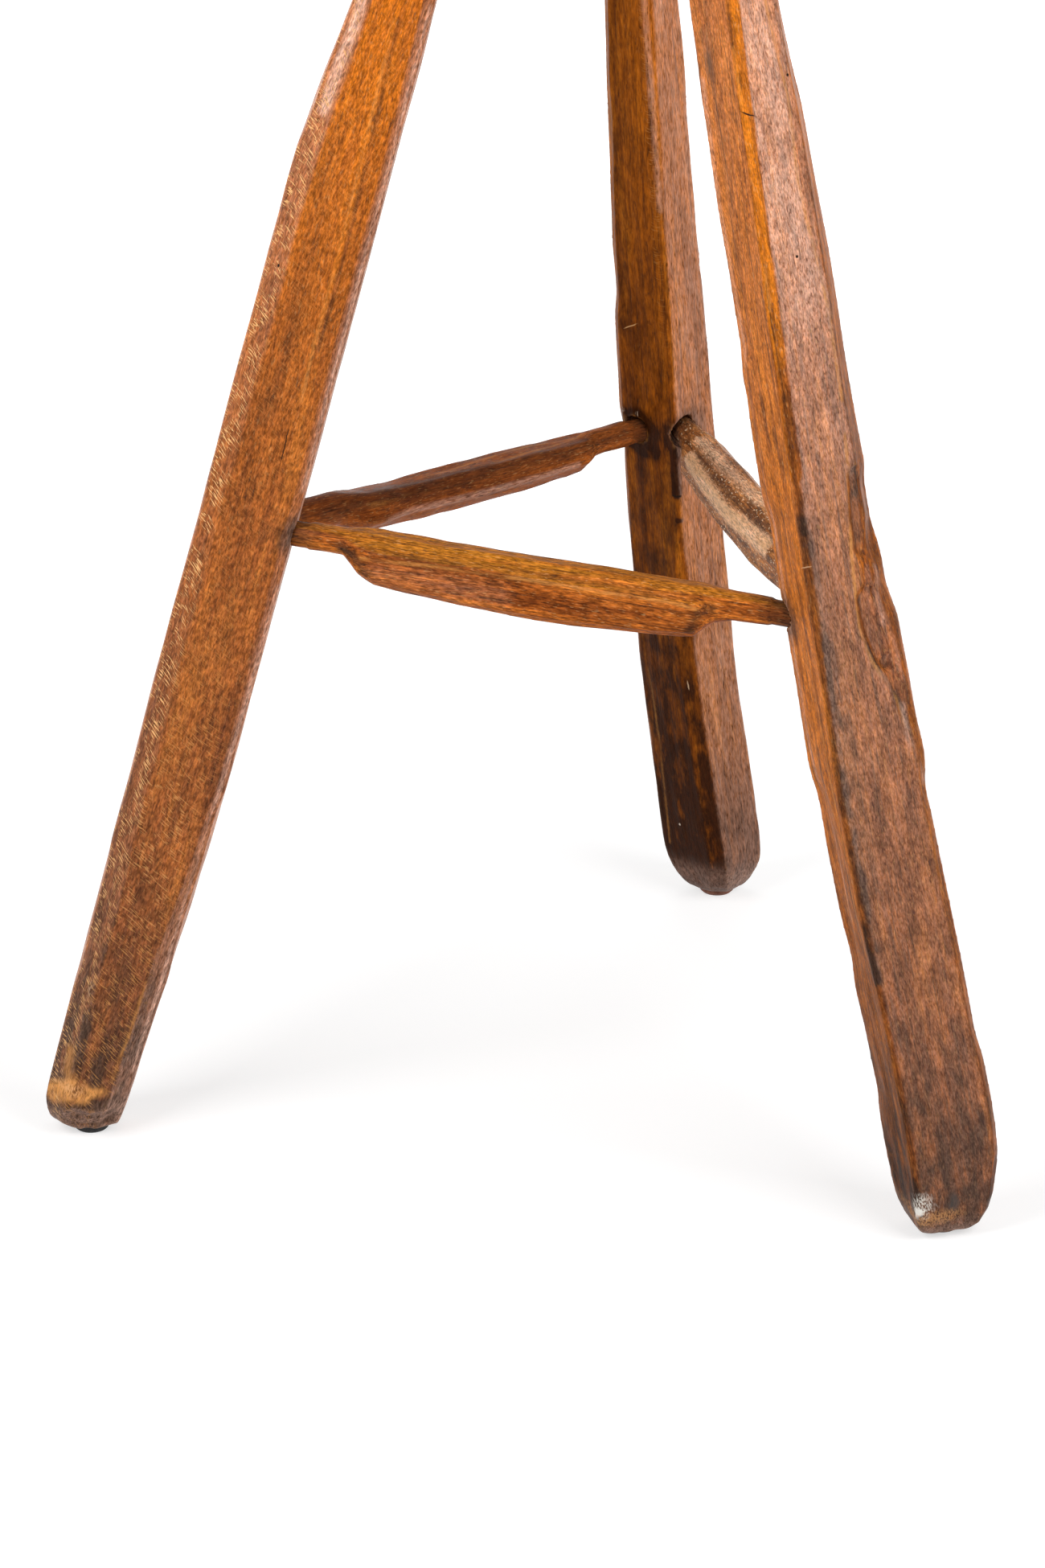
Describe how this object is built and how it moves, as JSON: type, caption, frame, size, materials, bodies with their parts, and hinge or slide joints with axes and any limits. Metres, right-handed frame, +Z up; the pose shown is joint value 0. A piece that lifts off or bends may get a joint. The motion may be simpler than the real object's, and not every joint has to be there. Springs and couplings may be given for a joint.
{
  "type": "three-legged wooden stool",
  "caption": "Tall hand-carved wooden stool: round hollowed seat on splayed, bevelled legs joined by short stretchers set in blind mortises, with small nailed glides under the feet.",
  "frame": {"origin": "on the floor under the middle of the seat", "axes": "+Z up along the seat axis, +Y towards the back leg, +X to the right of the two front legs"},
  "size_m": [0.5117, 0.4552, 0.745],
  "materials": {
    "seat_wood": "stained and waxed, worn",
    "leg_wood": "stained and waxed, worn",
    "stretcher_wood": "stained and waxed, worn",
    "wedge_wood": "stained end grain",
    "black_glide": "matt black",
    "dark_glide": "matt dark brown",
    "brown_glide": "matt reddish brown",
    "nail_steel": "plain"
  },
  "bodies": {
    "root": {"seat": "seat_wood", "leg_left": "leg_wood", "leg_right": "leg_wood", "leg_back": "leg_wood", "stretcher_front": "stretcher_wood", "stretcher_left": "stretcher_wood", "stretcher_right": "stretcher_wood", "wedge_left": "wedge_wood", "wedge_right": "wedge_wood", "wedge_back": "wedge_wood", "glide_left": "black_glide", "glide_right": "dark_glide", "glide_back": "brown_glide", "glide_nail_left": "nail_steel", "glide_nail_right": "nail_steel", "glide_nail_back": "nail_steel"}
  },
  "joints": []
}
